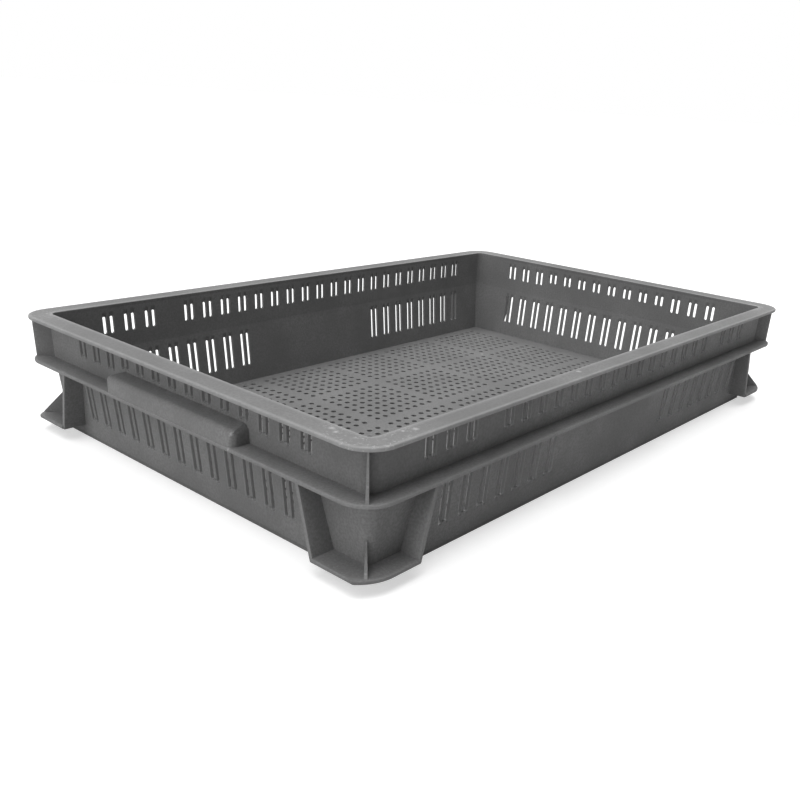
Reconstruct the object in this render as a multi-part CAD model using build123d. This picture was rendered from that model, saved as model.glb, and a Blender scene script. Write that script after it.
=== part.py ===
from build123d import *
from build123d.topology import SkipClean
import math
import os

# A shallow stacking crate with a drilled floor and slotted walls.
# Frame: X runs along the long walls, Y along the end walls and Z points up. The origin is the centre
# of the base, which stands on Z = 0. The left end is at -X and the front at -Y. Lengths are millimetres.

# Overall sizes
LENGTH = 600.0
WIDTH = 400.0
HEIGHT = 97.0

# Walls, floor, rim and ledge
WALL = 2.8
FLOOR = 3.0
RIM = 3.0
LEDGE = 3.0
LEDGE_DROP = 35.0              # from the top of the rim to the top of the ledge
END_OVERHANG = 15.5            # rim and ledge stand this far out from the end walls
SIDE_OVERHANG = 13.5           # rim and ledge stand this far out from the long walls
RIM_CORNER_RADIUS = 22.0       # plan corners of the rim and the ledge
MOUTH_ROUND = 0.8              # rounding of the rim's inner top edge
WALL_CORNER_RADIUS = 9.0       # outside of the upright wall corners
EDGE_ROUND = 1.0               # moulded rounding of free edges
BASE_LEAN = 4.5                # the walls draw in by this much from the ledge down to the base

# Floor holes, in square blocks with plain bands between them
HOLE_DIAMETER = 4.8
HOLE_PITCH = 10.06
HOLES_PER_BLOCK_SIDE = 8
BLOCK_BAND = 6.67              # added to the pitch between two blocks
HOLE_FIELD_MARGIN = 12.0       # least distance from a wall to the centre of a hole

# Wall slots, in pairs
SLOT_WIDTH = 3.5
SLOT_SPACING = 6.73            # between the two slots of a pair
BAR_SETBACK = 0.65             # the bar between them lies this far behind the outer face
SLOT_BEVEL = 0.6               # of a slot's edges on the outer face
PAIR_PITCH = 20.18
SLOT_RIB_MARGIN = 0.2          # least distance from a slot to the top of a slanted rib
UPPER_SLOT_HEAD = 7.0          # below the rim
UPPER_SLOT_SILL = 10.0         # above the ledge
GRIP_SLOT_SILL = 14.5          # above the ledge, for the shorter slots behind a grip
LOWER_SLOT_HEAD = 8.5          # below the ledge
LOWER_SLOT_SILL = 15.5         # above the floor
LOWER_GROUP_PAIRS = 8          # pairs at each end of a long wall's lower row
LONG_SLOT_PAIRS = 3            # pairs of full height at each end of an end wall's upper row
BLANK_PAIR = 4                 # the pair left out of an upper row, counted from its end
RAMP_RISE = 4.0                # sloping lead-in above each slot, on the inner face
RAMP_DEPTH = 1.2

# Slanted ribs, foot plates and gussets at the corners
RIB = 3.0
RIB_TOP_INSET = 62.5           # from the crate's end or side to the rib's inner face at the ledge
RIB_FOOT_INSET = 49.7          # the same, at the rib's foot
FOOT_PLATE = 3.0
FOOT_PLATE_LIFT = 10.0         # underside of the foot plate and the ribs above the base
FOOT_CUT_X = 24.0              # from the corner to where the foot plate's long edge bends into an arc
FOOT_CUT_Y = 11.0              # from the corner to where that arc meets the other edge at an angle
FOOT_CUT_ROUND = 3.0           # rounding where they meet
GUSSET_FOOT = 2.2              # thickness of a gusset at its foot
GUSSET_TOP = 1.1               # the same, at its top
FOOT_GUSSET_RISE = 18.0        # height of the foot gusset at the wall corner
FOOT_GUSSET_TIP = 0.6          # height of the foot gusset at its outer end

# Grips on the ledge
GRIP_LENGTH = 152.0
GRIP_CAP = 8.0                 # length of each closed end
GRIP_HEIGHT = 13.0
GRIP_DROP = 2.5                # the top falls by this much from the wall to the crest
GRIP_SKIN = 3.0                # least thickness of the face and the top over the hollow
GRIP_LEAN = 1.5                # the outer face leans in by this much at the top
GRIP_CREST_ROUND = 5.0         # between the outer face and the top
GRIP_END_ROUND = 5.5           # of the closed ends, in plan and in elevation

# How far a cutter reaches past the face that it opens
CUT_CLEARANCE = 1.0

# Levels
RIM_UNDERSIDE = HEIGHT - RIM
LEDGE_TOP = HEIGHT - LEDGE_DROP
LEDGE_UNDERSIDE = LEDGE_TOP - LEDGE
FOOT_PLATE_TOP = FOOT_PLATE_LIFT + FOOT_PLATE

# Half sizes in plan
RIM_X = LENGTH / 2
RIM_Y = WIDTH / 2
WALL_X = RIM_X - END_OVERHANG
WALL_Y = RIM_Y - SIDE_OVERHANG
INNER_X = WALL_X - WALL
INNER_Y = WALL_Y - WALL
INNER_CORNER_RADIUS = WALL_CORNER_RADIUS - WALL
FREE_X = RIM_X - EDGE_ROUND
FREE_Y = RIM_Y - EDGE_ROUND

# Grips: how far they stand out, the width of the hollow under them and half the length between their ends
GRIP_DEPTH = END_OVERHANG - EDGE_ROUND
GRIP_HOLLOW = GRIP_DEPTH - GRIP_LEAN - GRIP_SKIN
GRIP_HALF_BAR = GRIP_LENGTH / 2 - GRIP_CAP

# Along a corner's diagonal: from the square corner of the outline in to the upright wall corner,
# and to the arc of the foot plate
DIAGONAL_STEP = math.sqrt(2)
MEAN_OVERHANG = (END_OVERHANG + SIDE_OVERHANG) / 2
WALL_CORNER_INSET = DIAGONAL_STEP * MEAN_OVERHANG + WALL_CORNER_RADIUS * (DIAGONAL_STEP - 1)
FOOT_ARC_RADIUS = (FOOT_CUT_X**2 + FOOT_CUT_Y**2) / (2 * FOOT_CUT_Y)
FOOT_ARC_REACH = FOOT_CUT_X + FOOT_ARC_RADIUS
FOOT_CUT_INSET = (FOOT_ARC_REACH - math.sqrt(FOOT_ARC_REACH**2 - 2 * FOOT_CUT_X**2)) / DIAGONAL_STEP

# Largest rounding that a free edge may take, as a share of the size beside it
ROUND_LIMIT = 0.4
CAP_ROUND_LIMIT = 0.8

QUARTER_TURN = 90.0

CORNERS = {
    "back_right": (1, 1),
    "back_left": (-1, 1),
    "front_right": (1, -1),
    "front_left": (-1, -1),
}


def rounded_plan(half_x, half_y, radius):
    """A rounded rectangle centred on the origin."""
    return RectangleRounded(2 * half_x, 2 * half_y, radius)


def edge_round(thickness):
    """The free-edge rounding that a plate of this thickness can take."""
    return min(EDGE_ROUND, ROUND_LIMIT * thickness)


def plate(plan, thickness, level):
    """A flat plate with its underside at the level and its outer edges rounded."""
    solid = Pos(0, 0, level) * extrude(plan, thickness)
    rims = solid.faces().filter_by(Axis.Z).edges()
    return fillet(rims, edge_round(thickness))


def in_corner(solid, signs):
    """A piece modelled at +X +Y, mirrored into the corner with these signs."""
    if signs[0] < 0:
        solid = mirror(solid, about=Plane.YZ)
    if signs[1] < 0:
        solid = mirror(solid, about=Plane.XZ)
    return solid


def centred_steps(count, pitch):
    """Places of a row of this many items about zero."""
    return [(index - (count - 1) / 2) * pitch for index in range(count)]


def lean_at(level):
    """How far the walls lie inside their upright part at this level."""
    return BASE_LEAN * max(0, 1 - level / LEDGE_UNDERSIDE)


def leaning_body(height):
    """The solid outline of the crate from the base up to a height below the ledge."""
    base = rounded_plan(WALL_X - BASE_LEAN, WALL_Y - BASE_LEAN, WALL_CORNER_RADIUS - BASE_LEAN)
    return extrude(base, height, taper=-math.degrees(math.atan2(BASE_LEAN, LEDGE_UNDERSIDE)))


# Floor

BLOCK = HOLES_PER_BLOCK_SIDE * HOLE_PITCH + BLOCK_BAND


def block_places(half_inner):
    """Centres of the hole blocks that fit between two walls."""
    room = 2 * (half_inner - HOLE_FIELD_MARGIN) + BLOCK_BAND + HOLE_PITCH
    return centred_steps(math.floor(room / BLOCK), BLOCK)


def hole_block(middle_x, middle_y):
    """A square tile of floor with one block of holes."""
    steps = centred_steps(HOLES_PER_BLOCK_SIDE, HOLE_PITCH)
    holes = [
        Wire.make_circle(HOLE_DIAMETER / 2, Plane((middle_x + x, middle_y + y, 0)))
        for x in steps
        for y in steps
    ]
    outline = (Pos(middle_x, middle_y) * Rectangle(BLOCK, BLOCK)).wire()
    return Solid.extrude(Face(outline, holes), Vector(0, 0, FLOOR))


def floor_panel():
    """The drilled floor, which also carries the walls. The face seams between blocks are kept."""
    places_x = block_places(INNER_X - lean_at(FLOOR))
    places_y = block_places(INNER_Y - lean_at(FLOOR))
    surround = leaning_body(FLOOR) - extrude(Rectangle(len(places_x) * BLOCK, len(places_y) * BLOCK), FLOOR)
    blocks = [hole_block(x, y) for x in places_x for y in places_y]
    with SkipClean():
        return surround.solid().fuse(*blocks)


# Walls

def pair_count(half_outline):
    """How many pairs of slots fit between the slanted ribs of one wall."""
    pair_gap = PAIR_PITCH - SLOT_SPACING - SLOT_WIDTH
    room = 2 * (half_outline - RIB_TOP_INSET - SLOT_RIB_MARGIN) + pair_gap
    return math.floor(room / PAIR_PITCH)


def long_wall_pairs(blank_left, blank_right):
    """Slot pairs of a long wall as (place, sill, head), seen from outside."""
    count = pair_count(RIM_X)
    pairs = []
    for index, place in enumerate(centred_steps(count, PAIR_PITCH)):
        from_left = index + 1
        from_right = count - index
        blank = blank_left and from_left == BLANK_PAIR or blank_right and from_right == BLANK_PAIR
        if not blank:
            pairs.append((place, LEDGE_TOP + UPPER_SLOT_SILL, RIM_UNDERSIDE - UPPER_SLOT_HEAD))
        if min(from_left, from_right) <= LOWER_GROUP_PAIRS:
            pairs.append((place, FLOOR + LOWER_SLOT_SILL, LEDGE_UNDERSIDE - LOWER_SLOT_HEAD))
    return pairs


def end_wall_pairs():
    """Slot pairs of an end wall as (place, sill, head), with shorter ones behind the grip."""
    count = pair_count(RIM_Y)
    pairs = []
    for index, place in enumerate(centred_steps(count, PAIR_PITCH)):
        behind_grip = min(index + 1, count - index) > LONG_SLOT_PAIRS
        sill = LEDGE_TOP + (GRIP_SLOT_SILL if behind_grip else UPPER_SLOT_SILL)
        pairs.append((place, sill, RIM_UNDERSIDE - UPPER_SLOT_HEAD))
        pairs.append((place, FLOOR + LOWER_SLOT_SILL, LEDGE_UNDERSIDE - LOWER_SLOT_HEAD))
    return pairs


# A wall's own frame has X along the wall, Y up and Z out of its inner face, and this plane cuts across it
ACROSS_WALL = Plane((0, 0, 0), x_dir=(0, 0, 1), z_dir=(-1, 0, 0))


def wall_section(near, far, bottom, top):
    """The wall's section between two depths from its inner face and two levels: X out, Y up."""
    levels = [bottom, top]
    if bottom < LEDGE_UNDERSIDE < top:
        levels.insert(1, LEDGE_UNDERSIDE)
    inner = [(near - lean_at(level), level) for level in levels]
    outer = [(far - lean_at(level), level) for level in reversed(levels)]
    return make_face(Polyline(*inner, *outer, close=True))


def slot_outline(sill, head, margin=0):
    """The upright outline of a slot, or one that lies outside it by a margin."""
    return SlotOverall(head - sill + 2 * margin, SLOT_WIDTH + 2 * margin, rotation=90)


def slot_bevel(place, sill, head):
    """What the bevel of a slot's outer edges takes out of a wall."""
    middle = (sill + head) / 2
    slope = math.degrees(math.atan2(lean_at(sill) - lean_at(head), head - sill))
    widest = slot_outline(sill, head, SLOT_BEVEL + CUT_CLEARANCE)
    flare = Pos(0, 0, CUT_CLEARANCE) * extrude(widest, -SLOT_BEVEL - 2 * CUT_CLEARANCE, taper=45)
    return Pos(place, middle, WALL - lean_at(middle)) * Rot(slope, 0, 0) * flare


def slot_cutters(place, sill, head):
    """What one slot takes out of a wall: the opening, its bevel, and the ramp above it on the inner face."""
    deep = BASE_LEAN + WALL + 2 * CUT_CLEARANCE
    outline = slot_outline(sill, head)
    opening = Pos(place, (sill + head) / 2, -BASE_LEAN - CUT_CLEARANCE) * extrude(outline, deep)
    foot = head - SLOT_WIDTH / 2
    top = head + RAMP_RISE
    deepest = Vector(RAMP_DEPTH - lean_at(foot), foot)
    tip = Vector(-lean_at(top), top)
    past_tip = tip + (tip - deepest) * (CUT_CLEARANCE / RAMP_DEPTH)
    ramp = make_face(Polyline(deepest, past_tip, (-lean_at(foot) - CUT_CLEARANCE, foot), close=True))
    ramp_cutter = Pos(place) * extrude(ACROSS_WALL * ramp, SLOT_WIDTH / 2, both=True)
    return [opening, slot_bevel(place, sill, head), ramp_cutter]


def pair_cutters(place, sill, head):
    """A pair of slots, and the setback of the bar between them."""
    cutters = []
    for middle in centred_steps(2, SLOT_SPACING):
        cutters += slot_cutters(place + middle, sill, head)
    foot, top = sill + SLOT_WIDTH / 2, head - SLOT_WIDTH / 2
    setback = wall_section(WALL - BAR_SETBACK, WALL + CUT_CLEARANCE, foot, top)
    cutters.append(Pos(place) * extrude(ACROSS_WALL * setback, SLOT_SPACING / 2, both=True))
    return cutters


def wall(inner_plane, half_width, pairs):
    """A wall on the floor, upright above the ledge and leaning in below it, with its slots."""
    panel = extrude(ACROSS_WALL * wall_section(0, WALL, FLOOR, RIM_UNDERSIDE), half_width, both=True)
    cutters = [cutter for pair in pairs for cutter in pair_cutters(*pair)]
    return inner_plane * (panel - cutters)


def wall_corner():
    """The rounded corner between two walls, at +X +Y."""
    centre = (WALL_X - WALL_CORNER_RADIUS, WALL_Y - WALL_CORNER_RADIUS, 0)
    radial = Plane(centre, x_dir=(1, 0, 0), z_dir=(0, -1, 0))
    section = radial * Pos(INNER_CORNER_RADIUS) * wall_section(0, WALL, FLOOR, RIM_UNDERSIDE)
    return revolve(section, Axis(centre, (0, 0, 1)), QUARTER_TURN)


# Rim and ledge

def mitred_rails(ring, inner_x, inner_y):
    """The four rails of a ring, parted along its corner diagonals."""
    reach_x = RIM_X - inner_x
    reach_y = RIM_Y - inner_y
    far_x, far_y = RIM_X + reach_x, RIM_Y + reach_y
    near_x, near_y = inner_x - reach_x, inner_y - reach_y
    front = [(-far_x, -far_y), (far_x, -far_y), (near_x, -near_y), (-near_x, -near_y)]
    right = [(far_x, -far_y), (far_x, far_y), (near_x, near_y), (near_x, -near_y)]
    rails = {}
    for name, corners in (("front", front), ("right", right)):
        wedge = extrude(make_face(Polyline(*corners, close=True)), HEIGHT)
        rails[name] = ring & wedge
    rails["back"] = mirror(rails["front"], about=Plane.XZ)
    rails["left"] = mirror(rails["right"], about=Plane.YZ)
    return rails


def rim_rails():
    """The flat rim on top of the walls, as four rails."""
    top = plate(rounded_plan(RIM_X, RIM_Y, RIM_CORNER_RADIUS), RIM, RIM_UNDERSIDE)
    mouth = extrude(rounded_plan(INNER_X, INNER_Y, INNER_CORNER_RADIUS), HEIGHT)
    ring = top - mouth
    brim = ring.faces().sort_by(Axis.Z)[-1].inner_wires()[0].edges()
    return mitred_rails(fillet(brim, MOUTH_ROUND), INNER_X, INNER_Y)


def ledge_rails():
    """The ledge round the outside of the walls, as four rails."""
    shelf = plate(rounded_plan(RIM_X, RIM_Y, RIM_CORNER_RADIUS), LEDGE, LEDGE_UNDERSIDE)
    body = extrude(rounded_plan(WALL_X, WALL_Y, WALL_CORNER_RADIUS), HEIGHT)
    beside_wall = (Align.MIN, Align.CENTER)
    hollow = extrude(Pos(WALL_X) * Rectangle(GRIP_HOLLOW, 2 * GRIP_HALF_BAR, align=beside_wall), HEIGHT)
    return mitred_rails(shelf - body - hollow, WALL_X, WALL_Y)


# Corners

DIAGONAL = Vector(1, 1).normalized()
ACROSS_DIAGONAL = Vector(0, 0, 1).cross(DIAGONAL)


def diagonal_strip(bottom, top):
    """An upright strip along the diagonal of the corner at +X +Y, thinner at its top than at its foot."""
    end_on = Plane((RIM_X, RIM_Y, 0), x_dir=ACROSS_DIAGONAL, z_dir=DIAGONAL)
    foot, tip = GUSSET_FOOT / 2, GUSSET_TOP / 2
    section = make_face(Polyline((-foot, bottom), (foot, bottom), (tip, top), (-tip, top), close=True))
    return extrude(end_on * section, 2 * WALL_CORNER_INSET, both=True)


def rim_gusset():
    """The upright diagonal plate between ledge and rim, at +X +Y."""
    outside = extrude(rounded_plan(FREE_X, FREE_Y, RIM_CORNER_RADIUS - EDGE_ROUND), HEIGHT)
    body = extrude(rounded_plan(WALL_X, WALL_Y, WALL_CORNER_RADIUS), HEIGHT)
    return (diagonal_strip(LEDGE_TOP, RIM_UNDERSIDE) & outside) - body


def foot_plate(ribs):
    """The low plate between the two ribs of a corner, at +X +Y, with its free edges rounded."""
    side = RIB_FOOT_INSET - RIB / 2
    bend = (RIM_X - FOOT_CUT_X, RIM_Y)
    meeting = (RIM_X, RIM_Y - FOOT_CUT_Y)
    corners = [meeting, (RIM_X, RIM_Y - side), (RIM_X - side, RIM_Y - side), (RIM_X - side, RIM_Y), bend]
    arc = TangentArc(bend, meeting, tangent=(1, 0))
    plan = make_face([*Polyline(*corners).edges(), arc])
    plan = fillet(plan.vertices().sort_by_distance(meeting)[0], FOOT_CUT_ROUND)
    return plate(plan, FOOT_PLATE, FOOT_PLATE_LIFT) - leaning_body(LEDGE_UNDERSIDE) - ribs


def outermost(vertices):
    """The vertex that lies furthest out along the diagonal of +X and +Y."""
    return vertices.sort_by(lambda vertex: vertex.X + vertex.Y)[-1]


def foot_gusset():
    """The triangular diagonal plate that stands on a foot plate, at +X +Y."""
    peak = FOOT_PLATE_TOP + FOOT_GUSSET_RISE
    outer = -FOOT_CUT_INSET - EDGE_ROUND
    inner = -WALL_CORNER_INSET - lean_at(peak)
    inside = -WALL_CORNER_INSET - BASE_LEAN - WALL
    profile = [
        (inside, FOOT_PLATE_TOP),
        (outer, FOOT_PLATE_TOP),
        (outer, FOOT_PLATE_TOP + FOOT_GUSSET_TIP),
        (inner, peak),
        (inside, peak),
    ]
    side_on = Plane((RIM_X, RIM_Y, 0), x_dir=DIAGONAL, z_dir=-ACROSS_DIAGONAL)
    web = extrude(side_on * make_face(Polyline(*profile, close=True)), GUSSET_FOOT, both=True)
    return (diagonal_strip(FOOT_PLATE_TOP, peak) & web) - leaning_body(LEDGE_UNDERSIDE)


def slanted_rib(plane, half_outline, overhang):
    """A leaning rib below the ledge, extruded from an upright plane beside a wall."""
    top = half_outline - RIB_TOP_INSET
    foot = half_outline - RIB_FOOT_INSET
    profile = [
        (top, LEDGE_UNDERSIDE),
        (top + RIB, LEDGE_UNDERSIDE),
        (foot + RIB, FOOT_PLATE_LIFT),
        (foot, FOOT_PLATE_LIFT),
    ]
    web = plane * make_face(Polyline(*profile, close=True))
    return extrude(web, overhang - EDGE_ROUND + BASE_LEAN) - leaning_body(LEDGE_UNDERSIDE)


# Grips

def grip_section():
    """The outline of a grip across its length: X out from the wall, Y up from the ledge."""
    crest = (GRIP_DEPTH - GRIP_LEAN, GRIP_HEIGHT - GRIP_DROP)
    corners = [(0, 0), (GRIP_DEPTH, 0), crest, (0, GRIP_HEIGHT)]
    outline = make_face(Polyline(*corners, close=True))
    return fillet(outermost(outline.vertices()), min(GRIP_CREST_ROUND, ROUND_LIMIT * GRIP_HEIGHT))


def grip_pieces():
    """The face, the top and the closed end at +Y of the hollow grip on the right end's ledge."""
    section = Plane((WALL_X, 0, LEDGE_TOP), x_dir=(1, 0, 0), z_dir=(0, -1, 0))
    corner = (Align.MIN, Align.MIN)
    outline = grip_section()
    face = outline & Pos(GRIP_HOLLOW) * Rectangle(GRIP_DEPTH, GRIP_HEIGHT, align=corner)
    ceiling = GRIP_HEIGHT - GRIP_DROP - GRIP_SKIN
    top = outline & Pos(0, ceiling) * Rectangle(GRIP_HOLLOW, GRIP_HEIGHT, align=corner)
    block = Pos(0, GRIP_LENGTH / 2) * extrude(section * outline, GRIP_CAP)
    end_round = min(GRIP_END_ROUND, CAP_ROUND_LIMIT * GRIP_CAP)
    plan = Rectangle(GRIP_DEPTH, GRIP_CAP, align=corner)
    plan = Pos(WALL_X, GRIP_HALF_BAR) * fillet(outermost(plan.vertices()), end_round)
    elevation = Rectangle(GRIP_CAP, GRIP_HEIGHT, align=corner)
    elevation = fillet(outermost(elevation.vertices()), end_round)
    beside = Plane((WALL_X, GRIP_HALF_BAR, LEDGE_TOP), x_dir=(0, 1, 0), z_dir=(1, 0, 0))
    cap = block & extrude(plan, HEIGHT) & extrude(beside * elevation, GRIP_DEPTH)
    bars = [extrude(section * half, GRIP_HALF_BAR, both=True) for half in (face, top)]
    return *bars, cap


def build_nodes():
    """Every piece of the crate by its node name."""
    nodes = {"floor_panel": floor_panel()}
    flat_x = WALL_X - WALL_CORNER_RADIUS
    flat_y = WALL_Y - WALL_CORNER_RADIUS
    front = Plane((0, -INNER_Y, 0), x_dir=(1, 0, 0), z_dir=(0, -1, 0))
    back = Plane((0, INNER_Y, 0), x_dir=(-1, 0, 0), z_dir=(0, 1, 0))
    right = Plane((INNER_X, 0, 0), x_dir=(0, 1, 0), z_dir=(1, 0, 0))
    nodes["front_wall"] = wall(front, flat_x, long_wall_pairs(True, True))
    nodes["back_wall"] = wall(back, flat_x, long_wall_pairs(False, True))
    nodes["right_end_wall"] = wall(right, flat_y, end_wall_pairs())
    nodes["left_end_wall"] = mirror(nodes["right_end_wall"], about=Plane.YZ)
    for side, rail in rim_rails().items():
        nodes[f"rim_{side}"] = rail
    for side, rail in ledge_rails().items():
        nodes[f"ledge_{side}"] = rail

    root_face = Plane((WALL_X - BASE_LEAN, 0, 0), x_dir=(0, 1, 0), z_dir=(1, 0, 0))
    free_face = Plane((0, FREE_Y, 0), x_dir=(1, 0, 0), z_dir=(0, -1, 0))
    end_rib = slanted_rib(root_face, RIM_Y, END_OVERHANG)
    side_rib = slanted_rib(free_face, RIM_X, SIDE_OVERHANG)
    corner_pieces = {
        "wall_corner": wall_corner(),
        "rim_gusset": rim_gusset(),
        "foot_plate": foot_plate([end_rib, side_rib]),
        "foot_gusset": foot_gusset(),
        "end_rib": end_rib,
        "side_rib": side_rib,
    }
    for name, piece in corner_pieces.items():
        for corner, signs in CORNERS.items():
            nodes[f"{name}_{corner}"] = in_corner(piece, signs)

    face, top, cap = grip_pieces()
    for end, sign in (("right", 1), ("left", -1)):
        nodes[f"{end}_grip_face"] = in_corner(face, (sign, 1))
        nodes[f"{end}_grip_top"] = in_corner(top, (sign, 1))
        nodes[f"{end}_grip_cap_back"] = in_corner(cap, (sign, 1))
        nodes[f"{end}_grip_cap_front"] = in_corner(cap, (sign, -1))
    return nodes


os.makedirs("parts", exist_ok=True)
for node, shape in build_nodes().items():
    export_step(shape, f"parts/{node}.step")
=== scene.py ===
"""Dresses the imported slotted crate: grey moulded plastic, a crowned floor, a studio and a camera.

Lengths are metres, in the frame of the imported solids: X along the long walls, Y along the end walls and
Z up, with the origin under the middle of the base.
"""
import logging
import math
from abc import ABC, abstractmethod
from dataclasses import dataclass, replace
from enum import Enum

import bpy
from mathutils import Matrix, Vector


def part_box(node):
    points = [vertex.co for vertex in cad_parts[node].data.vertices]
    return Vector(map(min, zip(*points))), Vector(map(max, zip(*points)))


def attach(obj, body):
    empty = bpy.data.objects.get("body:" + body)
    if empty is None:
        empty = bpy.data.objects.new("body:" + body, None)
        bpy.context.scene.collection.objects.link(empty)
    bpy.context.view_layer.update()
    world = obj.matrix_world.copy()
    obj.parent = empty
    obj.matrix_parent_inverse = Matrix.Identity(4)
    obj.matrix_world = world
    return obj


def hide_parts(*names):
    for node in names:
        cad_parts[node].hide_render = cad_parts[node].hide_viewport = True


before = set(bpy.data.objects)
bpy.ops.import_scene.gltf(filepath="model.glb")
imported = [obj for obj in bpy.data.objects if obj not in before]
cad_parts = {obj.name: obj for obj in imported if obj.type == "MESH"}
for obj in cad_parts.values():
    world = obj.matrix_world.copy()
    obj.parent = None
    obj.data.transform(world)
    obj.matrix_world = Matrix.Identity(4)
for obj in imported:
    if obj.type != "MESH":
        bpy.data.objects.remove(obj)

LOG = logging.getLogger("slotted_crate")

MM = 0.001
BODY = "root"

Colour = tuple[float, float, float, float]
Spot = tuple[float, float, float]
Place = tuple[float, float]
Range = tuple[float, float]
Settings = tuple[tuple[str, float], ...]
Socket = bpy.types.NodeSocket
Sockets = bpy.types.bpy_prop_collection
Feed = float | tuple | Socket


def grey(level: float) -> Colour:
    """Return an opaque neutral colour of this linear level."""
    return (level, level, level, 1.0)


@dataclass(frozen=True)
class Noise:
    """The settings of one noise texture.

    Attributes:
        detail: How many finer layers it adds.
        roughness: How strong the finer layers are.
        scale: How many grains lie on a metre, unless their size is given.
    """

    detail: float
    roughness: float = 0.5
    scale: float = 1.0


class ShaderSheet:
    """Adds nodes to one shader tree and links them."""

    # Places of the Mix node's colour sockets, whose names are shared with its other sockets
    mix_share = 0
    mix_under = 6
    mix_over = 7
    mix_result = 2

    def __init__(self, tree: bpy.types.NodeTree) -> None:
        """Keep the tree that the nodes go into."""
        self.tree = tree

    def node(self, kind: str, settings: dict | None = None, inputs: dict | None = None) -> bpy.types.Node:
        """Add one node to the tree.

        Args:
            kind: Blender's identifier of the node.
            settings: Properties to set on the node.
            inputs: Values to set, or sockets to link, by the input's name or index.

        Returns:
            The new node.
        """
        made = self.tree.nodes.new(kind)
        for name, value in (settings or {}).items():
            setattr(made, name, value)
        for key, value in (inputs or {}).items():
            self.feed(made.inputs[key], value)
        return made

    def feed(self, socket: Socket, value: Feed) -> None:
        """Link a socket to another one, or set its plain value.

        Args:
            socket: The input to feed.
            value: The socket that it is linked to, or its value.
        """
        if isinstance(value, Socket):
            self.tree.links.new(value, socket)
        else:
            socket.default_value = value

    def math(self, operation: str, *values: Feed) -> Socket:
        """Return the result of one Math node."""
        return self.node("ShaderNodeMath", {"operation": operation}, dict(enumerate(values))).outputs[0]

    def rest(self, value: Feed) -> Socket:
        """Return what is left of 1 after a value is taken away."""
        return self.math("SUBTRACT", 1.0, value)

    def fade(self, value: Feed) -> Socket:
        """Return a fall from 1 at a value of 0 to 0 at a value of 1 and beyond."""
        return self.math("MAXIMUM", self.rest(value), 0.0)

    def step(self, value: Feed, low: float, high: float) -> Socket:
        """Add a smooth step.

        Args:
            value: The value that is stepped.
            low: Where the step starts to rise from 0.
            high: Where the step reaches 1.

        Returns:
            The step, of 0 to 1.
        """
        settings = {"interpolation_type": "SMOOTHSTEP"}
        inputs = {"Value": value, "From Min": low, "From Max": high}
        return self.node("ShaderNodeMapRange", settings, inputs).outputs["Result"]

    def span(self, value: Feed, low: float, high: float) -> Socket:
        """Return a value of 0 to 1 stretched to a range."""
        inputs = {"Value": value, "To Min": low, "To Max": high}
        return self.node("ShaderNodeMapRange", None, inputs).outputs["Result"]

    def tint(self, share: Feed, under: Feed, over: Feed) -> Socket:
        """Return the colour over laid on the colour under by this share."""
        inputs = {self.mix_share: share, self.mix_under: under, self.mix_over: over}
        return self.node("ShaderNodeMix", {"data_type": "RGBA"}, inputs).outputs[self.mix_result]

    def noise(self, place: Feed, noise: Noise, size: Socket | None = None) -> Socket:
        """Add one noise texture.

        Args:
            place: The point that it is read at.
            noise: Its settings.
            size: The size of its grains, in place of the settings' scale.

        Returns:
            The noise, of 0 to 1.
        """
        scale = noise.scale if size is None else self.math("DIVIDE", 1.0, size)
        inputs = {"Vector": place, "Scale": scale, "Detail": noise.detail, "Roughness": noise.roughness}
        return self.node("ShaderNodeTexNoise", None, inputs).outputs[0]

    def place(self) -> Socket:
        """Return the point's place in the crate's frame."""
        return self.node("ShaderNodeTexCoord").outputs["Object"]

    def facing(self) -> Sockets:
        """Return the three parts of the direction that the surface looks in."""
        normal = self.node("ShaderNodeNewGeometry").outputs["Normal"]
        return self.parts(normal)

    def parts(self, vector: Socket) -> Sockets:
        """Return the X, Y and Z of a vector."""
        return self.node("ShaderNodeSeparateXYZ", None, {0: vector}).outputs


class SharedEffect(ABC):
    """A shader node group that several finishes use, built when it is first placed."""

    name: str = ""
    inputs: dict[str, float] = {}
    outputs: tuple[str, ...] = ()

    def tree(self) -> bpy.types.NodeTree:
        """Make the group, unless it is there already.

        Returns:
            The group's tree.
        """
        if self.name in bpy.data.node_groups:
            return bpy.data.node_groups[self.name]
        tree = bpy.data.node_groups.new(self.name, "ShaderNodeTree")
        for name, value in self.inputs.items():
            socket = tree.interface.new_socket(name, in_out="INPUT", socket_type="NodeSocketFloat")
            socket.default_value = value
        for name in self.outputs:
            tree.interface.new_socket(name, in_out="OUTPUT", socket_type="NodeSocketFloat")
        sheet = ShaderSheet(tree)
        given = sheet.node("NodeGroupInput").outputs
        result = self.wire(sheet, given)
        sheet.node("NodeGroupOutput", None, result)
        return tree

    @abstractmethod
    def wire(self, sheet: ShaderSheet, given: Sockets) -> dict[str, Socket]:
        """Lay out the group's nodes.

        Args:
            sheet: The group's own sheet.
            given: The group's inputs, by name.

        Returns:
            The sockets that feed the group's outputs, by name.
        """

    def put(self, sheet: ShaderSheet, values: Settings = ()) -> Sockets:
        """Put the group in a material with the material's own values and return its outputs."""
        return sheet.node("ShaderNodeGroup", {"node_tree": self.tree()}, dict(values)).outputs


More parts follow.
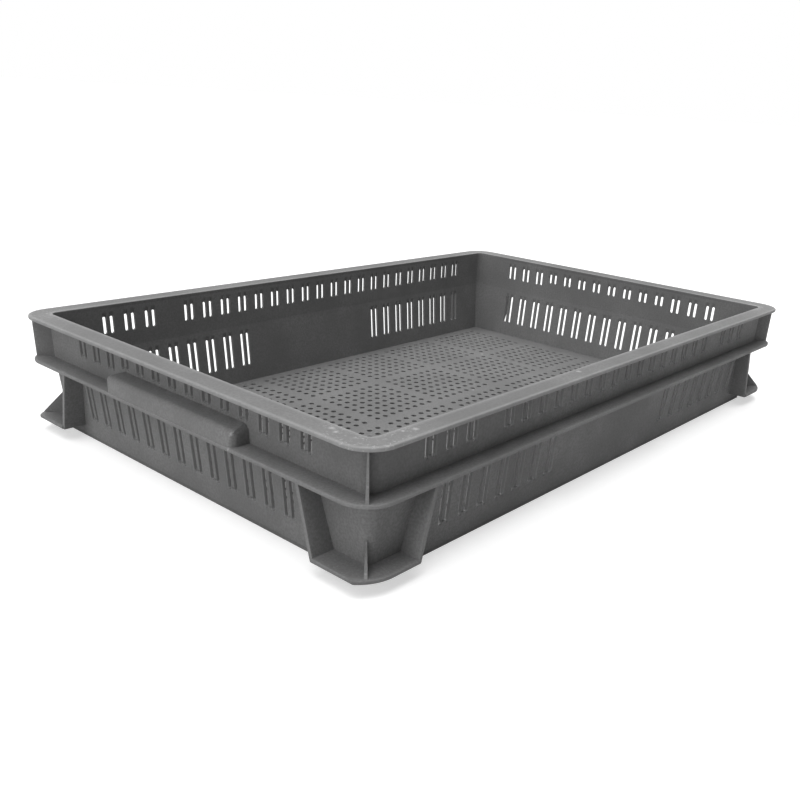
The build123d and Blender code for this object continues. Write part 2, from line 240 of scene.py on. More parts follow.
class MouldGrain(SharedEffect):
    """The fine grain of a moulded skin, its flecks, and the slow clouding of its grey."""

    name = "mould_grain"
    inputs = {"Grain Size": 0.7 * MM, "Fleck Size": 1.6 * MM, "Cloud Size": 60 * MM}
    outputs = ("Height", "Fleck", "Cloud")
    grains = Noise(detail=2.0)
    flecks = Noise(detail=1.0)
    fleck_range: Range = (0.25, 0.75)
    clouds = Noise(detail=4.0, roughness=0.6)
    cloud_range: Range = (0.3, 0.7)

    def wire(self, sheet: ShaderSheet, given: Sockets) -> dict[str, Socket]:
        """Lay out a fine noise for the height, a coarser one for flecks and a slow one for clouds.

        Args:
            sheet: The group's own sheet.
            given: The group's inputs, by name.

        Returns:
            The height, the flecks and the clouds, of 0 to 1.
        """
        place = sheet.place()
        fleck = sheet.noise(place, self.flecks, given["Fleck Size"])
        cloud = sheet.noise(place, self.clouds, given["Cloud Size"])
        return {
            "Height": sheet.noise(place, self.grains, given["Grain Size"]),
            "Fleck": sheet.step(fleck, *self.fleck_range),
            "Cloud": sheet.step(cloud, *self.cloud_range),
        }


class OutlineWear(SharedEffect):
    """Paler, rubbed plastic beside a rounded outline in plan, with chips near its corners.

    The rubbing lies on both sides of the outline. With Upward at 1 it spares faces that do not look up.
    """

    name = "outline_wear"
    inputs = {
        "Half Length": 300 * MM,
        "Half Width": 200 * MM,
        "Corner": 22 * MM,
        "Reach": 3 * MM,
        "Upward": 0.0,
    }
    outputs = ("Mask", "Corners", "Chips")
    patches = Noise(detail=5.0, roughness=0.65, scale=60.0)
    patch_strength: Range = (0.25, 1.0)
    upward_range: Range = (0.1, 0.8)
    corner_range: Range = (-60 * MM, 5 * MM)
    specks = Noise(detail=4.0, roughness=0.7, scale=480.0)
    speck_range: Range = (0.52, 0.64)
    chip_reach = 4.0  # times the reach of the rubbing

    def wire(self, sheet: ShaderSheet, given: Sockets) -> dict[str, Socket]:
        """Lay out the distance from the outline, broken up by noise, and the reach from its corners.

        Args:
            sheet: The group's own sheet.
            given: The group's inputs, by name.

        Returns:
            The masks of the rubbing, the corners and the chips.
        """
        place = sheet.place()
        past = self.past_corners(sheet, place, given)
        away = sheet.math("DIVIDE", self.distance(sheet, past, given["Corner"]), given["Reach"])
        patchy = sheet.span(sheet.noise(place, self.patches), *self.patch_strength)
        strength = sheet.math("MULTIPLY", patchy, self.bared(sheet, given["Upward"]))
        in_corner = sheet.step(sheet.math("MINIMUM", *past), *self.corner_range)
        corners = sheet.math("MULTIPLY", in_corner, strength)
        beside = sheet.fade(sheet.math("DIVIDE", away, self.chip_reach))
        speckled = sheet.step(sheet.noise(place, self.specks), *self.speck_range)
        return {
            "Mask": sheet.math("MULTIPLY", sheet.fade(away), strength),
            "Corners": corners,
            "Chips": sheet.math("MULTIPLY", sheet.math("MULTIPLY", beside, speckled), corners),
        }

    def past_corners(self, sheet: ShaderSheet, place: Socket, given: Sockets) -> list[Socket]:
        """Lay out how far a point lies past the start of the outline's corners.

        Args:
            sheet: The group's own sheet.
            place: The point.
            given: The group's inputs, by name.

        Returns:
            The lengths along X and along Y, below 0 between the corners.
        """
        x, y, _ = sheet.parts(place)
        past = []
        for axis, half in ((x, given["Half Length"]), (y, given["Half Width"])):
            start = sheet.math("SUBTRACT", half, given["Corner"])
            past.append(sheet.math("SUBTRACT", sheet.math("ABSOLUTE", axis), start))
        return past

    def distance(self, sheet: ShaderSheet, past: list[Socket], corner: Socket) -> Socket:
        """Return how far a point lies from the outline.

        Args:
            sheet: The group's own sheet.
            past: How far the point lies past the start of the corners, along X and along Y.
            corner: The radius of the corners.

        Returns:
            The distance in plan, on either side of the outline.
        """
        outside = [sheet.math("MAXIMUM", value, 0.0) for value in past]
        squares = [sheet.math("MULTIPLY", value, value) for value in outside]
        reach_out = sheet.math("SQRT", sheet.math("ADD", *squares))
        reach_in = sheet.math("MINIMUM", sheet.math("MAXIMUM", *past), 0.0)
        inside = sheet.math("SUBTRACT", corner, sheet.math("ADD", reach_out, reach_in))
        return sheet.math("ABSOLUTE", inside)

    def bared(self, sheet: ShaderSheet, upward: Socket) -> Socket:
        """Return how far a face is open to rubbing, which Upward limits to faces that look up."""
        upright = sheet.rest(sheet.step(sheet.facing()[2], *self.upward_range))
        return sheet.rest(sheet.math("MULTIPLY", upward, upright))


class HandlingScuffs(SharedEffect):
    """Fine pale scratches that lie in two directions."""

    name = "handling_scuffs"
    inputs = {"Density": 0.5}
    outputs = ("Mask",)
    tilt: tuple[float, float] = (0.2, 0.1)
    turns: tuple[float, float] = (0.35, 2.1)
    stretch: Spot = (14.0, 420.0, 420.0)
    lines = Noise(detail=2.0)
    line_range: Range = (0.66, 0.74)
    patches = Noise(detail=3.0, scale=22.0)
    patch_slope = 6.0  # how fast a patch of scratches sets in

    def wire(self, sheet: ShaderSheet, given: Sockets) -> dict[str, Socket]:
        """Lay out two stretched noises, cut to thin lines, inside slow patches.

        Args:
            sheet: The group's own sheet.
            given: The group's inputs, by name.

        Returns:
            The mask of the scratches.
        """
        place = sheet.place()
        lines = []
        for turn in self.turns:
            mapping = {"Vector": place, "Rotation": (*self.tilt, turn), "Scale": self.stretch}
            along = sheet.node("ShaderNodeMapping", None, mapping).outputs[0]
            lines.append(sheet.step(sheet.noise(along, self.lines), *self.line_range))
        past_least = sheet.math("SUBTRACT", sheet.noise(place, self.patches), sheet.rest(given["Density"]))
        chosen = sheet.math("MAXIMUM", sheet.math("MULTIPLY", past_least, self.patch_slope), 0.0)
        open_patch = sheet.math("MINIMUM", chosen, 1.0)
        return {"Mask": sheet.math("MULTIPLY", sheet.math("MAXIMUM", *lines), open_patch)}


@dataclass(frozen=True)
class Nick:
    """One small mark: its place and how far it reaches, in millimetres."""

    x: float
    y: float
    z: float
    reach: float

    def spot(self) -> Spot:
        """Return the nick's place in metres."""
        return (self.x * MM, self.y * MM, self.z * MM)


class NicksAndGlints(SharedEffect):
    """Small pale nick marks where the crate was knocked, a painted glint on a grip's crest, a pale dot in
    the floor and a painted highlight on the floor where its moulding gate lies.
    """

    name = "nicks_and_glints"
    outputs = ("Mask",)
    rim_nicks = (
        Nick(-251.9, -190.7, 97.0, reach=3.0),
        Nick(-260.0, -188.0, 97.0, reach=2.0),
        Nick(-72.7, -188.8, 97.0, reach=2.5),
        Nick(-287.7, -158.1, 97.0, reach=3.0),
        Nick(-290.0, -164.0, 97.0, reach=2.5),
        Nick(-283.6, -199.0, 97.0, reach=3.5),
        Nick(-299.6, -177.2, 96.0, reach=1.6),
    )
    # a nick on the ledge beside the grip, and a painted glint on the grip's crest
    grip_nick_and_glint = (
        Nick(-299.5, -73.5, 61.0, reach=1.6),
        Nick(-298.2, -74.0, 71.5, reach=2.4),
    )
    # a pale dot in the floor, and a painted highlight on the floor where its moulding gate lies
    floor_dot_and_glint = (
        Nick(54.1, 4.2, 7.4, reach=1.6),
        Nick(174.3, 87.15, 5.2, reach=2.0),
    )
    edges = Noise(detail=4.0, roughness=0.65, scale=900.0)
    edge_range: Range = (-0.2, 2.2)
    strength = 0.9

    def wire(self, sheet: ShaderSheet, given: Sockets) -> dict[str, Socket]:
        """Lay out the distance to the nearest nick, with a ragged edge.

        Args:
            sheet: The group's own sheet.
            given: The group's inputs, by name.

        Returns:
            The mask of the nick marks and painted glints.
        """
        place = sheet.place()
        ragged = sheet.span(sheet.noise(place, self.edges), *self.edge_range)
        mask: Feed = 0.0
        for nick in self.rim_nicks + self.grip_nick_and_glint + self.floor_dot_and_glint:
            ends = {0: place, 1: nick.spot()}
            away = sheet.node("ShaderNodeVectorMath", {"operation": "DISTANCE"}, ends).outputs["Value"]
            share = sheet.math("DIVIDE", sheet.math("MULTIPLY", away, ragged), nick.reach * MM)
            mask = sheet.math("MAXIMUM", mask, sheet.rest(share))
        return {"Mask": sheet.math("MULTIPLY", mask, self.strength)}


class SettledDust(SharedEffect):
    """A thin film of dust on faces that look up."""

    name = "settled_dust"
    inputs = {"Patch Size": 30 * MM}
    outputs = ("Mask",)
    upward_range: Range = (0.4, 0.95)
    patches = Noise(detail=6.0, roughness=0.65)
    patch_range: Range = (0.3, 0.75)

    def wire(self, sheet: ShaderSheet, given: Sockets) -> dict[str, Socket]:
        """Lay out how far a face looks up, times an uneven noise.

        Args:
            sheet: The group's own sheet.
            given: The group's inputs, by name.

        Returns:
            The mask of the dust.
        """
        upward = sheet.step(sheet.facing()[2], *self.upward_range)
        patches = sheet.noise(sheet.place(), self.patches, given["Patch Size"])
        return {"Mask": sheet.math("MULTIPLY", upward, sheet.step(patches, *self.patch_range))}


class SlotSideHighlight(SharedEffect):
    """Painted highlight: paler plastic on the sides and bevels of the slots, on faces that look along the
    wall.
    """

    name = "slot_side_highlight"
    inputs = {"Along X": 0.0, "Along Y": 0.0}
    outputs = ("Mask",)
    along_range: Range = (0.3, 0.8)

    def wire(self, sheet: ShaderSheet, given: Sockets) -> dict[str, Socket]:
        """Lay out how far a face looks along its wall.

        Args:
            sheet: The group's own sheet.
            given: The group's inputs, by name.

        Returns:
            The mask of the painted highlight on the slots' sides.
        """
        x, y, _ = sheet.facing()
        along_x = sheet.math("MULTIPLY", x, given["Along X"])
        along_y = sheet.math("MULTIPLY", y, given["Along Y"])
        along = sheet.math("ABSOLUTE", sheet.math("ADD", along_x, along_y))
        # paler where a face looks along the wall: a painted highlight on the slots' sides
        return {"Mask": sheet.step(along, *self.along_range)}


@dataclass(frozen=True)
class PlasticFinish:
    """The crate's grey plastic, as one family of its pieces shows it.

    Attributes:
        name: The material's name.
        colour: The grey of the unworn plastic, which differs from family to family to paint the light and
            shade that falls on each.
        roughness: How matt the plastic is on average.
        wear: How far the rim's outlines are rubbed.
        scuffs: How much of the surface has scratches.
        dust: How thick the film of dust is.
        clouding: How much darker the dark clouds are.
        flecks: How much lighter the light flecks are.
        rubbed: The colour of worn plastic.
        dusty: The colour of the dust.
        corners: How far the corners are paled, as a share of the wear.
        chips: How far the chips are paled, as a share of the wear.
        scratches: How far the scratches are paled.
        grain: How strong the moulded grain is.
        grain_depth: How deep the grain is.
        specular: How strongly the plastic mirrors.
        roughness_change: How the roughness differs in the clouds.
        mouth: The inner outline of the rim, along which a paler band lies.
        slots: The direction along the wall, on pieces with slots, for the painted highlight on their sides.
        slot_side_highlight: How far the painted highlight pales the slots' sides and bevels.
    """

    name: str
    colour: float
    roughness: float
    wear: float
    scuffs: float
    dust: float
    clouding: float = 0.10
    flecks: float = 0.28
    rubbed: Colour = grey(0.42)
    dusty: Colour = grey(0.30)
    corners: float = 0.40
    chips: float = 2.2
    scratches: float = 0.5
    grain: float = 0.12
    grain_depth: float = 0.2 * MM
    specular: float = 0.12
    roughness_change: Range = (-0.04, 0.06)
    mouth: Settings = (
        ("Half Length", 281.7 * MM),
        ("Half Width", 183.7 * MM),
        ("Corner", 6.2 * MM),
        ("Reach", 4.0 * MM),
        ("Upward", 1.0),
    )
    slots: Settings = ()
    slot_side_highlight: float = 0.40

    def skin(self, sheet: ShaderSheet, grain: Sockets) -> Socket:
        """Mix the unworn grey.

        Args:
            sheet: The material's sheet.
            grain: The outputs of the mould's grain.

        Returns:
            The grey, clouded and flecked.
        """
        plain = grey(self.colour)
        darker = sheet.tint(grain["Cloud"], plain, grey(self.colour * (1 - self.clouding)))
        lighter = sheet.tint(grain["Cloud"], grey(self.colour * (1 + self.flecks)), plain)
        return sheet.tint(grain["Fleck"], darker, lighter)

    def rubbing(self, sheet: ShaderSheet) -> Socket:
        """Gather the wear of the rim's outer outline, the paler band along its inner outline, the paler
        corners and their chips.

        Args:
            sheet: The material's sheet.

        Returns:
            How far the rubbing has paled the grey.
        """
        outer = OutlineWear().put(sheet)
        inner = OutlineWear().put(sheet, self.mouth)
        edges = sheet.math("MULTIPLY", sheet.math("MAXIMUM", outer["Mask"], inner["Mask"]), self.wear)
        corners = sheet.math("MULTIPLY", outer["Corners"], self.wear * self.corners)
        chipped = sheet.math("MAXIMUM", outer["Chips"], inner["Chips"])
        chips = sheet.math("MULTIPLY", chipped, self.wear * self.chips)
        return sheet.math("MAXIMUM", sheet.math("ADD", edges, corners), chips)

    def marks(self, sheet: ShaderSheet) -> Socket:
        """Gather the rubbing, the scratches, the nick marks with their painted glints, and the painted
        highlight on the slots' sides.

        Args:
            sheet: The material's sheet.

        Returns:
            How far all of them have paled the grey.
        """
        scuffed = HandlingScuffs().put(sheet, (("Density", self.scuffs),))["Mask"]
        scratches = sheet.math("MULTIPLY", scuffed, self.scratches)
        worn = sheet.math("MAXIMUM", self.rubbing(sheet), scratches)
        marked = sheet.math("MAXIMUM", worn, NicksAndGlints().put(sheet)["Mask"])
        if not self.slots:
            return marked
        # the slots' sides and bevels get a painted highlight
        sides = SlotSideHighlight().put(sheet, self.slots)["Mask"]
        return sheet.math("MAXIMUM", marked, sheet.math("MULTIPLY", sides, self.slot_side_highlight))

    def material(self) -> bpy.types.Material:
        """Return the finish as a new material.

        Returns:
            A node material whose colour, roughness and relief vary over the surface.
        """
        made = bpy.data.materials.new(self.name)
        made.use_nodes = True
        made.diffuse_color = grey(self.colour)
        sheet = ShaderSheet(made.node_tree)
        shader = made.node_tree.nodes["Principled BSDF"]
        shader.inputs["Specular IOR Level"].default_value = self.specular
        grain = MouldGrain().put(sheet)
        film = sheet.math("MULTIPLY", SettledDust().put(sheet)["Mask"], self.dust)
        colour = sheet.tint(film, self.skin(sheet, grain), self.dusty)
        sheet.feed(shader.inputs["Base Color"], sheet.tint(self.marks(sheet), colour, self.rubbed))
        limits = [self.roughness + change for change in self.roughness_change]
        sheet.feed(shader.inputs["Roughness"], sheet.span(grain["Cloud"], *limits))
        relief = {"Strength": self.grain, "Distance": self.grain_depth, "Height": grain["Height"]}
        sheet.feed(shader.inputs["Normal"], sheet.node("ShaderNodeBump", None, relief).outputs[0])
        return made


class UseAndPaintedShading(Enum):
    """How a family of pieces is used, which sets its finish; though the crate is one plastic, each family's
    grey differs to paint the light and shade that falls on it.
    """

    HANDLED = PlasticFinish(
        "handled_plastic_painted_shading", colour=0.155, roughness=0.66, wear=0.60, scuffs=0.42, dust=0.06
    )
    GRIPPED = PlasticFinish(
        "gripped_plastic_painted_shading", colour=0.170, roughness=0.62, wear=0.15, scuffs=0.36, dust=0.0
    )
    SHELTERED = PlasticFinish(
        "sheltered_plastic_painted_shading", colour=0.182, roughness=0.64, wear=0.0, scuffs=0.28, dust=0.0
    )
    LONG_WALLS = replace(SHELTERED, name="long_wall_plastic_painted_shading", slots=(("Along X", 1.0),))
    END_WALLS = replace(SHELTERED, name="end_wall_plastic_painted_shading", slots=(("Along Y", 1.0),))
    LOADED = PlasticFinish(
        "loaded_plastic_painted_shading", colour=0.152, roughness=0.70, wear=0.0, scuffs=0.36, dust=0.06
    )
    STANDING = PlasticFinish(
        "standing_plastic_painted_shading", colour=0.158, roughness=0.64, wear=0.30, scuffs=0.34, dust=0.03
    )
    # a darker grey than the standing pieces: painted shade on the foot plates
    TRODDEN_AND_SHADED = replace(STANDING, name="trodden_plastic_painted_shade", colour=0.130, wear=0.22)

    def material(self) -> bpy.types.Material:
        """Return this use's material, made once."""
        return bpy.data.materials.get(self.value.name) or self.value.material()


class MeshBook:
    """Gathers the points and faces of one mesh, sharing points that fall together."""

    fineness = 1e7  # how many points on a metre count as different ones

    def __init__(self) -> None:
        """Start with no points and no faces."""
        self.points: list[Spot] = []
        self.faces: list[list[int]] = []
        self.found: dict[tuple[int, ...], int] = {}

    def point(self, x: float, y: float, z: float) -> int:
        """Find a point, or add it if it is new.

        Args:
            x: Its place along the long walls.
            y: Its place along the end walls.
            z: Its height.

        Returns:
            The point's index.
        """
        key = tuple(round(value * self.fineness) for value in (x, y, z))
        if key not in self.found:
            self.found[key] = len(self.points)
            self.points.append((x, y, z))
        return self.found[key]

    def face(self, corners: list[int]) -> None:
        """Add one face."""
        self.faces.append(corners)

    def band(self, first: list[int], second: list[int], closed: bool) -> None:
        """Join two rows of points with four-sided faces.

        Args:
            first: The row on the right of the faces' outer side, looking along it.
            second: The row beside it, with as many points.
            closed: Whether the rows are rings.
        """
        count = len(first) if closed else len(first) - 1
        for index in range(count):
            after = (index + 1) % len(first)
            self.face([first[index], first[after], second[after], second[index]])

    def object(self, name: str, crease: float) -> bpy.types.Object:
        """Make an object of the mesh, smooth but for its sharp edges.

        Args:
            name: The object's name.
            crease: The angle from which an edge is sharp.

        Returns:
            The new object.
        """
        mesh = bpy.data.meshes.new(name)
        mesh.from_pydata(self.points, [], self.faces)
        mesh.shade_smooth()
        mesh.set_sharp_from_angle(angle=crease)
        made = bpy.data.objects.new(name, mesh)
        bpy.context.collection.objects.link(made)
        return made


@dataclass
class CrownedFloor:
    """The floor: a thin plate, crowned as it was moulded, with round holes in square blocks.

    Attributes:
        half_length: Half the floor's length.
        half_width: Half its width.
        thickness: Its thickness.
        crown: How far its middle stands up.
        wall: The thickness of the walls on its border, where the crown ends.
        corner: The radius of its corners.
        corner_steps: How many faces round a corner.
        draw_in: How far the bottom edge lies inside the top one.
        hole: The diameter of a hole.
        lip: The size of the bevel round a hole's mouth.
        pitch: The distance from hole to hole.
        band: What is added to the pitch between two blocks.
        holes_per_side: How many holes lie along a block's side.
        blocks_long: How many blocks lie along X.
        blocks_wide: How many blocks lie along Y.
        steps_per_eighth: How many faces make an eighth of a hole.
        strip_points: How many points an interval without holes has.
        crease: The angle from which an edge is sharp.
    """

    half_length: float
    half_width: float
    thickness: float
    crown: float = 4.6 * MM
    wall: float = 2.8 * MM
    corner: float = 4.7 * MM
    corner_steps: int = 6
    draw_in: float = 0.23 * MM
    hole: float = 4.8 * MM
    lip: float = 0.25 * MM
    pitch: float = 10.06 * MM
    band: float = 6.67 * MM
    holes_per_side: int = 8
    blocks_long: int = 6
    blocks_wide: int = 4
    steps_per_eighth: int = 2
    strip_points: int = 2
    crease: float = math.radians(35)

    def rise(self, x: float, y: float) -> float:
        """Work out the crown at one place.

        Args:
            x: The place along the long walls.
            y: The place along the end walls.

        Returns:
            How far the crown lifts the floor there.
        """
        across = 1 - (x / (self.half_length - self.wall)) ** 2
        along = 1 - (y / (self.half_width - self.wall)) ** 2
        return self.crown * max(across, 0.0) * max(along, 0.0)

    def intervals(self, blocks: int) -> list[list[float]]:
        """Divide one direction of the hole field into plain strips and hole cells.

        Args:
            blocks: How many blocks of holes lie in this direction.

        Returns:
            The points of each interval, two for a plain strip and more for a hole cell.
        """
        block = self.holes_per_side * self.pitch + self.band
        half = blocks * block / 2
        steps = range(-self.steps_per_eighth, self.steps_per_eighth + 1)
        shares = [math.tan(math.pi / 4 * step / self.steps_per_eighth) for step in steps]
        found = []
        reached = -half
        for index in range(blocks):
            first = -half + index * block + self.band / 2
            found.append([reached, first])
            for hole in range(self.holes_per_side):
                middle = first + (hole + 0.5) * self.pitch
                found.append([middle + share * self.pitch / 2 for share in shares])
            reached = first + self.holes_per_side * self.pitch
        found.append([reached, half])
        return found

    def cell(self, book: MeshBook, xs: list[float], ys: list[float]) -> None:
        """Add one cell of the field, with its hole if both directions hold one.

        Args:
            book: The mesh to add to.
            xs: The cell's points along X.
            ys: The cell's points along Y.
        """
        loop = [(x, ys[0]) for x in xs[:-1]]
        loop += [(xs[-1], y) for y in ys[:-1]]
        loop += [(x, ys[-1]) for x in xs[:0:-1]]
        loop += [(xs[0], y) for y in ys[:0:-1]]
        top = [self.top(book, x, y) for x, y in loop]
        under = [self.under(book, x, y) for x, y in loop]
        is_plain = min(len(xs), len(ys)) == self.strip_points
        if is_plain:
            book.face(top)
            book.face(under[::-1])
            return
        middle = Vector(((xs[0] + xs[-1]) / 2, (ys[0] + ys[-1]) / 2))
        ways = [(Vector(place) - middle).normalized() for place in loop]
        mouth = [middle + way * (self.hole / 2 + self.lip) for way in ways]
        bore = [middle + way * self.hole / 2 for way in ways]
        mouth_ring = [self.top(book, *place) for place in mouth]
        lip_ring = [book.point(*place, self.thickness - self.lip + self.rise(*place)) for place in bore]
        low_ring = [self.under(book, *place) for place in bore]
        rings = [top, mouth_ring, lip_ring, low_ring, under]
        for first, second in zip(rings, rings[1:]):
            book.band(first, second, closed=True)

    def top(self, book: MeshBook, x: float, y: float) -> int:
        """Return the point of the upper face at a place."""
        return book.point(x, y, self.thickness + self.rise(x, y))

    def under(self, book: MeshBook, x: float, y: float) -> int:
        """Return the point of the lower face at a place."""
        return book.point(x, y, self.rise(x, y))

    def border(self, book: MeshBook, xs: list[float], ys: list[float]) -> None:
        """Add the plain border from the hole field to the drawn-in bottom edge.

        Args:
            book: The mesh to add to.
            xs: The field's points along X, from end to end.
            ys: The field's points along Y, from end to end.
        """
        sides = [
            ([(x, ys[0]) for x in xs], (0, -1)),
            ([(xs[-1], y) for y in ys], (1, 0)),
            ([(x, ys[-1]) for x in xs[::-1]], (0, 1)),
            ([(xs[0], y) for y in ys[::-1]], (-1, 0)),
        ]
        outline = []
        for number, (row, way) in enumerate(sides):
            edge = [(self.outward(place, way), way) for place in row]
            turn = self.turn(way)
            outline += edge + turn
            next_row, next_way = sides[(number + 1) % len(sides)]
            rounded = edge[-1:] + turn + [(self.outward(next_row[0], next_way), next_way)]
            upper_edge = [self.top(book, *place) for place, _ in edge]
            upper_row = [self.top(book, *place) for place in row]
            book.band(upper_edge, upper_row, closed=False)
            book.face([self.top(book, *place) for place, _ in rounded] + upper_row[-1:])
            lower_row = [self.under(book, *place) for place in row]
            lower_edge = [self.foot(book, *step) for step in edge]
            book.band(lower_row, lower_edge, closed=False)
            book.face(lower_row[-1:] + [self.foot(book, *step) for step in rounded[::-1]])
        upper = [self.top(book, *place) for place, _ in outline]
        lower = [self.foot(book, *step) for step in outline]
        book.band(lower, upper, closed=True)

    def outward(self, place: Place, way: Place) -> Place:
        """Move a point of the field's edge straight out to the floor's outline.

        Args:
            place: The point of the field's edge.
            way: The direction that its side faces.

        Returns:
            The point of the outline.
        """
        x = way[0] * self.half_length if way[0] else place[0]
        y = way[1] * self.half_width if way[1] else place[1]
        return (x, y)

    def turn(self, way: Place) -> list[tuple[Place, Place]]:
        """Round the corner after a side.

        Args:
            way: The direction that the side faces.

        Returns:
            The points of the corner, each with the way that it faces.
        """
        start = math.atan2(way[1], way[0])
        middle_x = (way[0] - way[1]) * (self.half_length - self.corner)
        middle_y = (way[0] + way[1]) * (self.half_width - self.corner)
        steps = []
        for index in range(self.corner_steps + 1):
            angle = start + math.pi / 2 * index / self.corner_steps
            out = (math.cos(angle), math.sin(angle))
            steps.append(((middle_x + self.corner * out[0], middle_y + self.corner * out[1]), out))
        return steps

    def foot(self, book: MeshBook, place: Place, way: Place) -> int:
        """Return the point of the drawn-in bottom edge under a point of the outline."""
        return book.point(place[0] - way[0] * self.draw_in, place[1] - way[1] * self.draw_in, 0.0)

    def build(self) -> bpy.types.Object:
        """Make the floor in place of its flat solid.

        Returns:
            The crowned floor.
        """
        book = MeshBook()
        across = self.intervals(self.blocks_long)
        along = self.intervals(self.blocks_wide)
        for xs in across:
            for ys in along:
                self.cell(book, xs, ys)
        field_xs = [x for xs in across for x in xs[:-1]] + [across[-1][-1]]
        field_ys = [y for ys in along for y in ys[:-1]] + [along[-1][-1]]
        self.border(book, field_xs, field_ys)
        floor = book.object("crowned_floor", self.crease)
        floor.data.materials.append(UseAndPaintedShading.LOADED.material())
        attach(floor, BODY)
        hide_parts("floor_panel")
        return floor


@dataclass
class CrateShell:
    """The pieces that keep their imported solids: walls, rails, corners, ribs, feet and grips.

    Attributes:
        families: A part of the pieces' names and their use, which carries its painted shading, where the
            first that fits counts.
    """

    families: tuple[tuple[str, UseAndPaintedShading], ...] = (
        ("rim_gusset", UseAndPaintedShading.STANDING),
        ("rim_", UseAndPaintedShading.HANDLED),
        ("ledge_", UseAndPaintedShading.GRIPPED),
        ("_grip_", UseAndPaintedShading.GRIPPED),
        ("foot_plate", UseAndPaintedShading.TRODDEN_AND_SHADED),
        ("foot_gusset", UseAndPaintedShading.STANDING),
        ("_rib_", UseAndPaintedShading.STANDING),
        ("wall_corner", UseAndPaintedShading.SHELTERED),
        ("end_wall", UseAndPaintedShading.END_WALLS),
        ("_wall", UseAndPaintedShading.LONG_WALLS),
    )

    def use_of(self, name: str) -> UseAndPaintedShading:
        """Return the use of a piece from its name."""
        return next(use for part, use in self.families if part in name)

    def dress(self, skip: str) -> list[str]:
        """Give every solid but one its finish.

        Args:
            skip: The solid that a modelled mesh replaces.

        Returns:
            The names of the dressed solids.
        """
        dressed = []
        for name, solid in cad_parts.items():
            if name == skip:
                continue
            solid.data.materials.clear()
            solid.data.materials.append(self.use_of(name).material())
            dressed.append(name)
        return dressed


@dataclass(frozen=True)
class Softbox:
    """One large soft light, far from the crate.

    Attributes:
        name: The light's name.
        strength: Its strength on a face turned to it, in watts per square metre.
        spread: The angle that it spans as the crate sees it, in degrees.
        way: The direction in which it shines.
    """

    name: str
    strength: float
    spread: float
    way: Spot


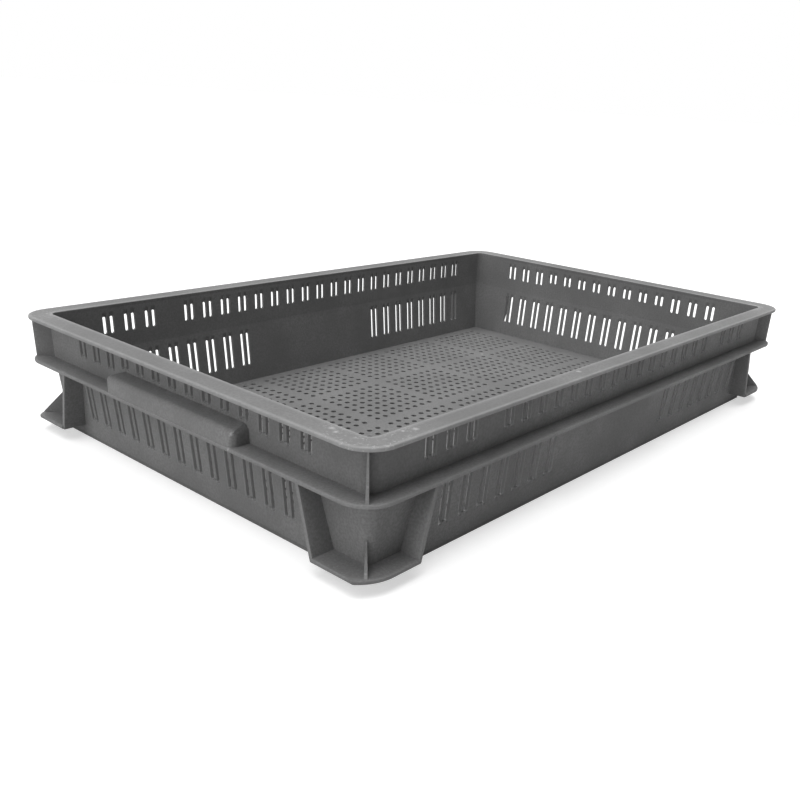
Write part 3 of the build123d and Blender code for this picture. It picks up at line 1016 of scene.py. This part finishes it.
@dataclass
class Studio:
    """The pale ground, the white surroundings, the soft lights and the camera.

    Attributes:
        ground_half: Half the side of the ground.
        ground_grey: The ground's grey where it is seen.
        ground_glow: The light that the ground adds where it is seen.
        ground_bounce: The ground's grey for the light that it throws back on the crate.
        sky_grey: The level of the light from all round.
        softboxes: The soft lights.
        photo_size: The side of the photograph, in pixels.
        focal_pixels: The camera's focal length, in pixels of the photograph.
        middle_pixel: Where the camera's axis meets the photograph, from its upper left corner.
        eye: Where the camera stands.
        azimuth: How far the camera is turned round the upright.
        elevation: How far it looks down.
        roll: How far it is turned about its own axis.
        sensor: The width of its sensor, in millimetres.
    """

    ground_half: float = 40.0
    ground_grey: float = 0.62
    ground_glow: float = 0.55
    ground_bounce: float = 0.56
    sky_grey: float = 0.18
    softboxes: tuple[Softbox, ...] = (
        Softbox("top_softbox", strength=1.95, spread=46.0, way=(0.0, 0.0, -1.0)),
        Softbox("left_softbox", strength=0.90, spread=40.0, way=(0.5, 0.0, -0.87)),
        Softbox("low_softbox", strength=0.84, spread=40.0, way=(1.0, 0.0, -0.3)),
        Softbox("back_softbox", strength=0.84, spread=40.0, way=(-0.38, -0.38, -0.84)),
    )
    photo_size: float = 800.0
    focal_pixels: float = 846.5
    middle_pixel: tuple[float, float] = (440.5, 506.2)
    eye: Spot = (-0.6001, -0.4976, 0.2712)
    azimuth: float = math.radians(-50.73)
    elevation: float = math.radians(25.69)
    roll: float = math.radians(3.56)
    sensor: float = 36.0

    def lay_ground(self) -> bpy.types.Object:
        """Lay the ground that the crate stands on.

        Returns:
            The ground, as part of the stage.
        """
        half = self.ground_half
        corners = [(-half, -half, 0), (half, -half, 0), (half, half, 0), (-half, half, 0)]
        mesh = bpy.data.meshes.new("studio_ground")
        mesh.from_pydata(corners, [], [(0, 1, 2, 3)])
        mesh.materials.append(self.ground_material())
        ground = bpy.data.objects.new("studio_ground", mesh)
        bpy.context.collection.objects.link(ground)
        return ground

    def ground_material(self) -> bpy.types.Material:
        """Mix a white that keeps the crate's shadow and lights the crate softly.

        Returns:
            The ground's material, which is clear from below.
        """
        material = bpy.data.materials.new("studio_ground")
        material.use_nodes = True
        sheet = ShaderSheet(material.node_tree)
        shown = sheet.node("ShaderNodeBsdfDiffuse", None, {"Color": grey(self.ground_grey)}).outputs[0]
        glow = sheet.node("ShaderNodeEmission", None, {"Strength": self.ground_glow}).outputs[0]
        lit = sheet.node("ShaderNodeAddShader", None, {0: shown, 1: glow}).outputs[0]
        bounce = sheet.node("ShaderNodeBsdfDiffuse", None, {"Color": grey(self.ground_bounce)}).outputs[0]
        upper = sheet.node("ShaderNodeMixShader", None, {0: self.seen(sheet), 1: bounce, 2: lit}).outputs[0]
        clear = sheet.node("ShaderNodeBsdfTransparent").outputs[0]
        from_below = sheet.node("ShaderNodeNewGeometry").outputs["Backfacing"]
        mixed = sheet.node("ShaderNodeMixShader", None, {0: from_below, 1: upper, 2: clear}).outputs[0]
        sheet.feed(material.node_tree.nodes["Material Output"].inputs["Surface"], mixed)
        return material

    def light(self) -> None:
        """Light the crate from every softbox."""
        for softbox in self.softboxes:
            lamp = bpy.data.lights.new(softbox.name, "SUN")
            lamp.energy = softbox.strength
            lamp.angle = math.radians(softbox.spread)
            holder = bpy.data.objects.new(softbox.name, lamp)
            holder.rotation_euler = Vector(softbox.way).to_track_quat("-Z", "Y").to_euler()
            bpy.context.collection.objects.link(holder)

    def seen(self, sheet: ShaderSheet) -> Socket:
        """Tell the rays that show the surroundings from those that light the crate.

        Args:
            sheet: The sheet of the ground or of the world.

        Returns:
            1 for a ray that shows the surroundings, and 0 for one that lights the crate.
        """
        rays = sheet.node("ShaderNodeLightPath").outputs
        mirrored = sheet.math("MAXIMUM", rays["Is Glossy Ray"], rays["Is Transmission Ray"])
        return sheet.math("MAXIMUM", rays["Is Camera Ray"], mirrored)

    def surround(self) -> None:
        """Show white around the crate, and light the crate with a soft grey."""
        world = bpy.data.worlds.new("studio_white")
        bpy.context.scene.world = world
        world.use_nodes = True
        sheet = ShaderSheet(world.node_tree)
        colour = sheet.tint(self.seen(sheet), grey(self.sky_grey), grey(1.0))
        sheet.feed(world.node_tree.nodes["Background"].inputs["Color"], colour)

    def set_camera(self) -> bpy.types.Object:
        """Stand the camera where the photograph was taken from.

        Returns:
            The scene's camera.
        """
        data = bpy.data.cameras.new("photo_camera")
        data.sensor_width = self.sensor
        data.lens = self.sensor * self.focal_pixels / self.photo_size
        data.shift_x = 0.5 - self.middle_pixel[0] / self.photo_size
        data.shift_y = self.middle_pixel[1] / self.photo_size - 0.5
        along, across = math.cos(self.azimuth), math.sin(self.azimuth)
        flat = math.cos(self.elevation)
        right = Vector((along, across, 0.0))
        back = Vector((across * flat, -along * flat, math.sin(self.elevation)))
        axes = Matrix((right, back.cross(right), back)).transposed().to_4x4()
        camera = bpy.data.objects.new("photo_camera", data)
        camera.matrix_world = Matrix.Translation(self.eye) @ axes @ Matrix.Rotation(self.roll, 4, "Z")
        bpy.context.collection.objects.link(camera)
        bpy.context.scene.camera = camera
        return camera

    def build(self) -> None:
        """Set up the studio and the camera."""
        self.lay_ground()
        self.light()
        self.surround()
        self.set_camera()
        bpy.context.scene.view_settings.view_transform = "Standard"


def main() -> None:
    """Dress the crate, build the studio and report each piece."""
    logging.basicConfig(level=logging.INFO, format="%(name)s: %(message)s")
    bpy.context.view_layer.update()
    low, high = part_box("floor_panel")
    floor = CrownedFloor(half_length=high.x, half_width=high.y, thickness=high.z - low.z).build()
    LOG.info("%s: %d faces", floor.name, len(floor.data.polygons))
    for name in CrateShell().dress(skip="floor_panel"):
        LOG.info("%s: dressed", name)
    Studio().build()


if __name__ == "__main__":
    main()
